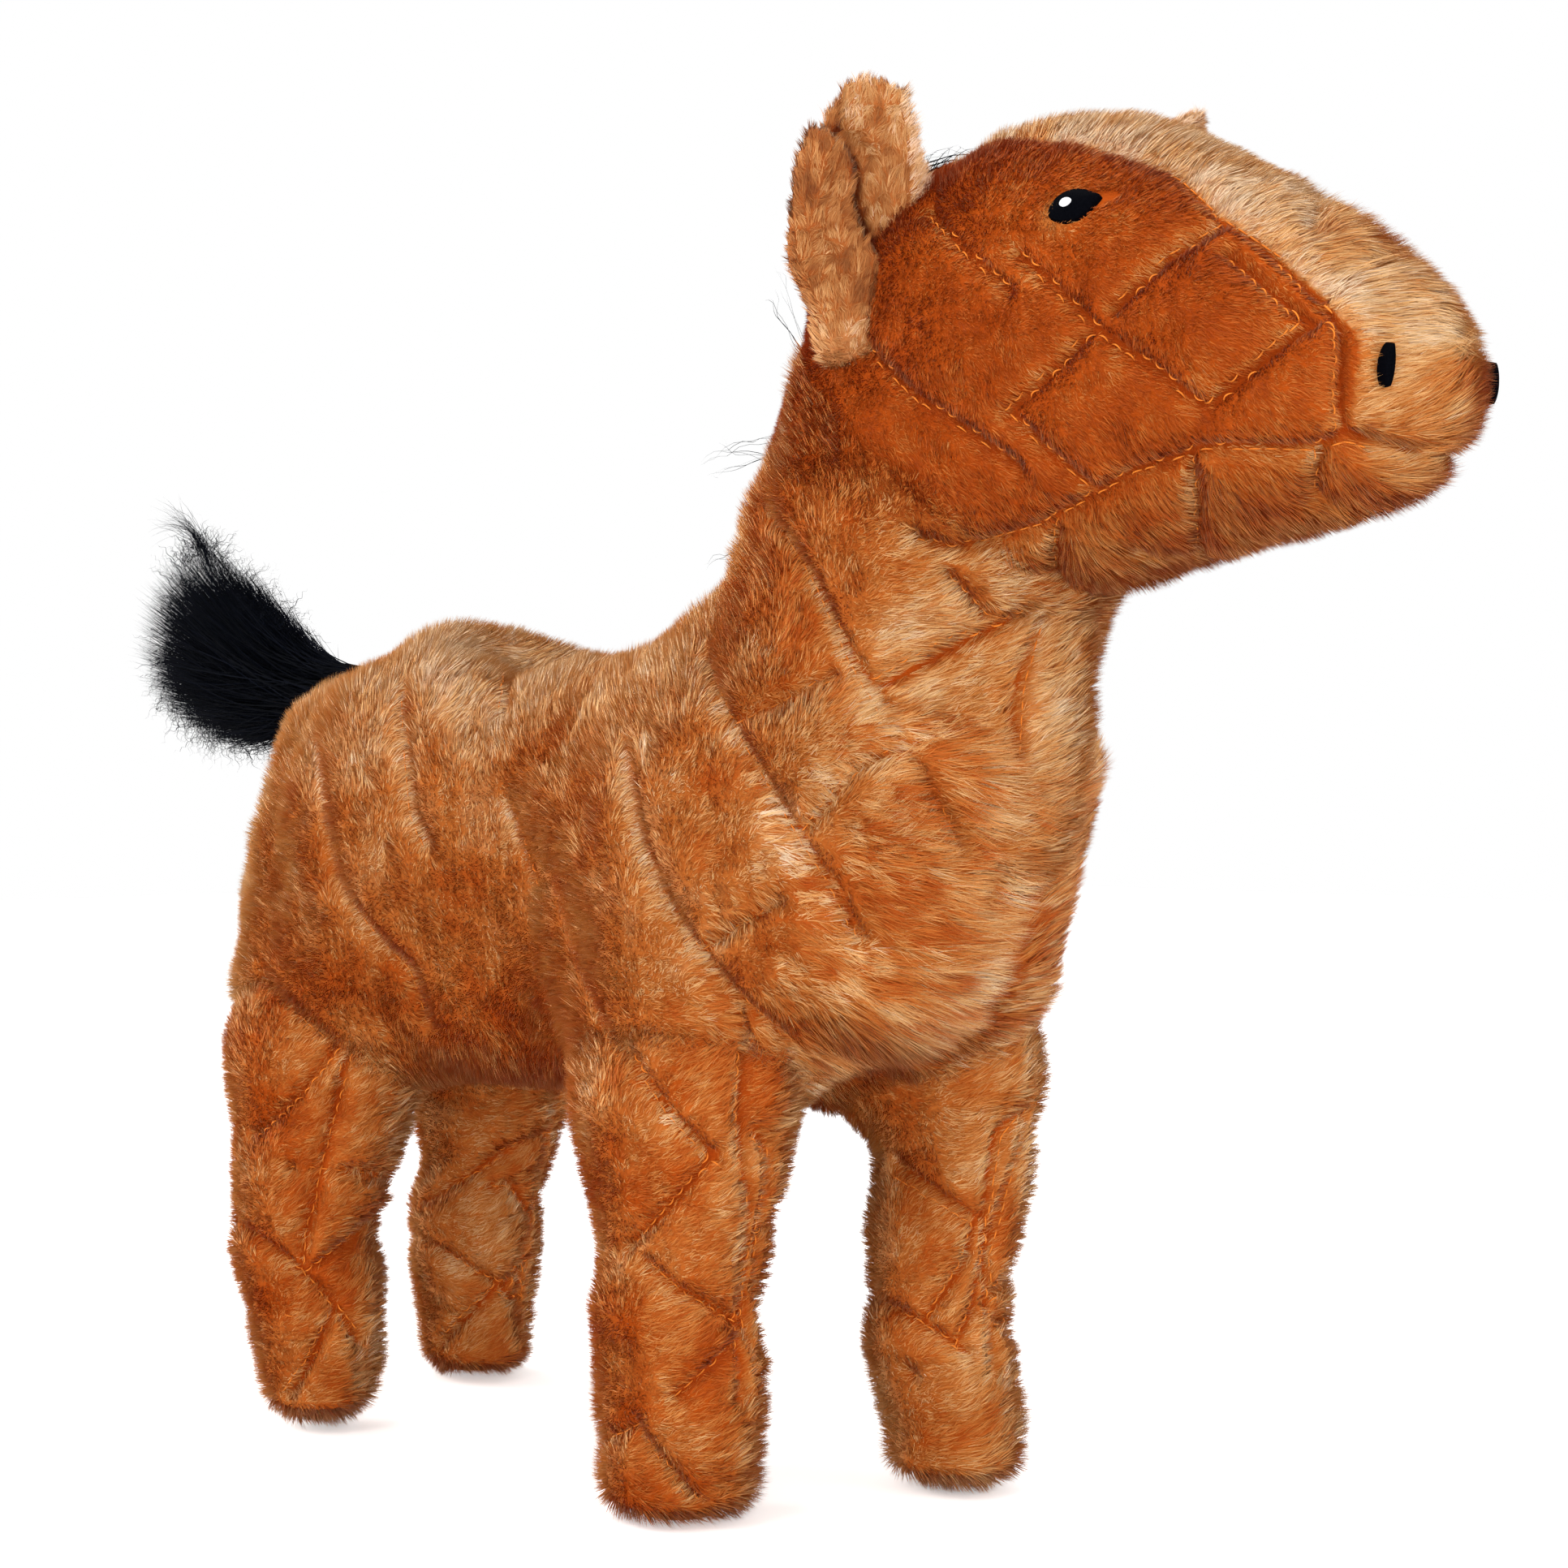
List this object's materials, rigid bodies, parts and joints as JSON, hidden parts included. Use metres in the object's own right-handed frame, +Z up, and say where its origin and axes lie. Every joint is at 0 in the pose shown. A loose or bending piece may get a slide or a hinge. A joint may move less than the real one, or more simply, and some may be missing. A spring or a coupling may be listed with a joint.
{
  "type": "plush horse",
  "caption": "Standing stuffed toy horse in quilted tan pile, with jointed neck, head, ears, legs and a black hair tail.",
  "frame": {"origin": "on the ground under the middle of the toy's bounding box", "axes": "+X from the tail towards the nose, +Y towards the toy's left side, +Z up"},
  "size_m": [0.4126, 0.1112, 0.3088],
  "materials": {
    "long_pile": "long tan pile",
    "cheek_pile": "short reddish-tan pile",
    "sole_pile": "short tan pile",
    "ear_pile": "short brown pile",
    "lining_pile": "short pale tan pile",
    "filling": "loose white fibre",
    "black_thread": "satin embroidery thread",
    "white_thread": "satin embroidery thread",
    "black_hair": "long loose pile"
  },
  "bodies": {
    "torso": {"belly_gusset": "long_pile", "torso_filling": "filling", "torso_side_left": "long_pile", "torso_side_right": "long_pile"},
    "neck": {"mane": "black_hair", "neck_filling": "filling", "neck_side_left": "long_pile", "neck_side_right": "long_pile"},
    "head": {"cheek_left": "cheek_pile", "cheek_right": "cheek_pile", "chin_gusset": "long_pile", "eye_highlight_left": "white_thread", "eye_highlight_right": "white_thread", "eye_left": "black_thread", "eye_right": "black_thread", "forehead_gusset": "long_pile", "head_filling": "filling", "nose_panel": "cheek_pile", "nostril_left": "black_thread", "nostril_right": "black_thread", "poll_tuft": "black_hair"},
    "ear_right": {"ear_back_right": "ear_pile", "ear_lining_right": "lining_pile"},
    "ear_left": {"ear_back_left": "ear_pile", "ear_lining_left": "lining_pile"},
    "tail": {"tail_dock": "black_hair", "tail_tuft": "black_hair"},
    "leg_fore_right": {"leg_fore_right_filling": "filling", "leg_fore_right_inner": "long_pile", "leg_fore_right_outer": "long_pile", "sole_fore_right": "sole_pile"},
    "leg_fore_left": {"leg_fore_left_filling": "filling", "leg_fore_left_inner": "long_pile", "leg_fore_left_outer": "long_pile", "sole_fore_left": "sole_pile"},
    "leg_hind_right": {"leg_hind_right_filling": "filling", "leg_hind_right_inner": "long_pile", "leg_hind_right_outer": "long_pile", "sole_hind_right": "sole_pile"},
    "leg_hind_left": {"leg_hind_left_filling": "filling", "leg_hind_left_inner": "long_pile", "leg_hind_left_outer": "long_pile", "sole_hind_left": "sole_pile"}
  },
  "joints": [
    {"name": "neck_bend", "type": "hinge", "parent": "torso", "child": "neck", "pos_m": [0.0718, -0.00093, 0.178], "axis": [0, 1, 0], "range_deg": [-8, 8], "stiffness_Nm_per_rad": 2},
    {"name": "head_turn", "type": "hinge", "parent": "neck", "child": "head", "pos_m": [0.08775, -0.00093, 0.22915], "axis": [0.7071, 0, 0.7071], "range_deg": [-15, 15], "stiffness_Nm_per_rad": 1},
    {"name": "ear_fold_right", "type": "hinge", "parent": "head", "child": "ear_right", "pos_m": [0.08405, -0.03546, 0.25084], "axis": [0.4695, 0.8796, -0.077], "range_deg": [-15, 15], "stiffness_Nm_per_rad": 0.05},
    {"name": "ear_fold_left", "type": "hinge", "parent": "head", "child": "ear_left", "pos_m": [0.08533, 0.02443, 0.27385], "axis": [-0.4695, 0.8297, -0.302], "range_deg": [-15, 15], "stiffness_Nm_per_rad": 0.05},
    {"name": "tail_swing", "type": "hinge", "parent": "torso", "child": "tail", "pos_m": [-0.12698, -0.00093, 0.18143], "axis": [0, 1, 0], "range_deg": [-6, 30], "stiffness_Nm_per_rad": 0.1},
    {"name": "leg_swing_fore_right", "type": "hinge", "parent": "torso", "child": "leg_fore_right", "pos_m": [0.0363, -0.03193, 0.088], "axis": [0, 1, 0], "range_deg": [-12, 12], "stiffness_Nm_per_rad": 3},
    {"name": "leg_swing_fore_left", "type": "hinge", "parent": "torso", "child": "leg_fore_left", "pos_m": [0.0523, 0.03007, 0.088], "axis": [0, 1, 0], "range_deg": [-12, 12], "stiffness_Nm_per_rad": 3},
    {"name": "leg_swing_hind_right", "type": "hinge", "parent": "torso", "child": "leg_hind_right", "pos_m": [-0.0997, -0.03443, 0.088], "axis": [0, 1, 0], "range_deg": [-12, 12], "stiffness_Nm_per_rad": 3},
    {"name": "leg_swing_hind_left", "type": "hinge", "parent": "torso", "child": "leg_hind_left", "pos_m": [-0.1087, 0.03257, 0.088], "axis": [0, 1, 0], "range_deg": [-12, 12], "stiffness_Nm_per_rad": 3}
  ]
}
